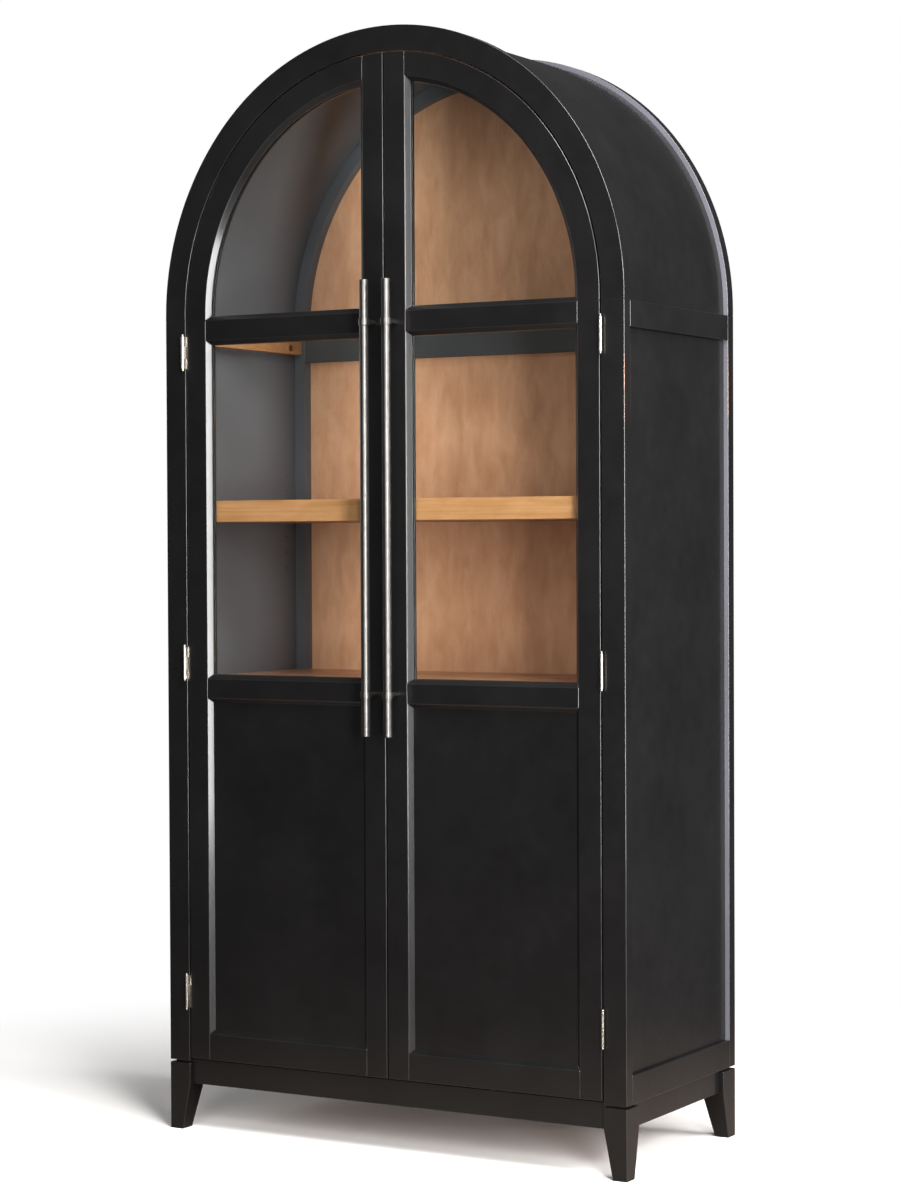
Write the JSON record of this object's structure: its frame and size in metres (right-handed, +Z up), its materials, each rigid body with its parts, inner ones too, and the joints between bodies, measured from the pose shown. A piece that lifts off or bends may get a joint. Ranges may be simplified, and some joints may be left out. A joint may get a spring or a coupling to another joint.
{
  "type": "curio cabinet",
  "caption": "Tall arched display cabinet with glazed doors over panelled cupboard fronts, long bar pulls, an adjustable shelf and tapered legs.",
  "frame": {"origin": "bottom centre of the whole object, door pulls included, on the floor between the four feet", "axes": "+Z up, +X to the right as seen from the front, the doors and their pulls face -Y"},
  "size_m": [1.011, 0.5176, 2.134],
  "materials": {
    "black_lacquer": "satin black lacquer over wood",
    "honey_veneer": "satin clear lacquer over honey veneer",
    "shelf_wood": "satin clear lacquer over honey wood",
    "clear_glass": "clear float glass",
    "gunmetal": "brushed gunmetal",
    "satin_nickel": "satin nickel",
    "zinc_steel": "zinc-plated steel",
    "aged_brass": "aged brass",
    "catch_body": "matt brown plastic"
  },
  "bodies": {
    "case": {"face_stile_left": "black_lacquer", "face_stile_right": "black_lacquer", "face_arch_left": "black_lacquer", "face_arch_right": "black_lacquer", "rear_stile_left": "black_lacquer", "rear_stile_right": "black_lacquer", "rear_arch_left": "black_lacquer", "rear_arch_right": "black_lacquer", "rear_rails": "black_lacquer", "side_panel_left": "black_lacquer", "side_panel_right": "black_lacquer", "side_rails_left": "black_lacquer", "side_rails_right": "black_lacquer", "hood_panel": "black_lacquer", "front_legs": "black_lacquer", "rear_legs": "black_lacquer", "front_apron": "black_lacquer", "rear_apron": "black_lacquer", "side_aprons": "black_lacquer", "back_panel_upper": "honey_veneer", "back_panel_lower": "honey_veneer", "deck": "honey_veneer", "bottom_board": "honey_veneer", "hood_cleats": "honey_veneer", "frame_hinge_leaves": "satin_nickel", "hinge_pins": "satin_nickel", "shelf_supports": "satin_nickel", "frame_hinge_screws": "zinc_steel", "hood_bolts": "aged_brass", "magnetic_catches": "catch_body"},
    "door_left": {"door_hinge_stile_left": "black_lacquer", "door_meeting_stile_left": "black_lacquer", "door_arch_rail_left": "black_lacquer", "door_mid_rail_left": "black_lacquer", "door_lock_rail_left": "black_lacquer", "door_bottom_rail_left": "black_lacquer", "door_panel_left": "black_lacquer", "door_beads_left": "black_lacquer", "door_arch_glass_left": "clear_glass", "door_window_glass_left": "clear_glass", "door_fixings_left": "zinc_steel", "door_hinge_leaves_left": "satin_nickel", "pull_bar_left": "gunmetal", "pull_posts_left": "gunmetal"},
    "door_right": {"door_hinge_stile_right": "black_lacquer", "door_meeting_stile_right": "black_lacquer", "door_arch_rail_right": "black_lacquer", "door_mid_rail_right": "black_lacquer", "door_lock_rail_right": "black_lacquer", "door_bottom_rail_right": "black_lacquer", "door_panel_right": "black_lacquer", "door_beads_right": "black_lacquer", "door_arch_glass_right": "clear_glass", "door_window_glass_right": "clear_glass", "door_fixings_right": "zinc_steel", "door_hinge_leaves_right": "satin_nickel", "pull_bar_right": "gunmetal", "pull_posts_right": "gunmetal"},
    "display_shelf": {"display_shelf": "shelf_wood"},
    "cupboard_shelf": {"cupboard_shelf": "shelf_wood"}
  },
  "joints": [
    {"name": "door_left_hinge", "type": "hinge", "parent": "case", "child": "door_left", "pos_m": [-0.4605, -0.2207, 0.925], "axis": [0, 0, -1], "range_deg": [0, 170]},
    {"name": "door_right_hinge", "type": "hinge", "parent": "case", "child": "door_right", "pos_m": [0.4605, -0.2207, 0.925], "axis": [0, 0, 1], "range_deg": [0, 170]},
    {"name": "display_shelf_lift", "type": "slide", "parent": "case", "child": "display_shelf", "axis": [0, 0, 1], "range_m": [0, 0.06]},
    {"name": "cupboard_shelf_lift", "type": "slide", "parent": "case", "child": "cupboard_shelf", "axis": [0, 0, 1], "range_m": [0, 0.06]}
  ]
}
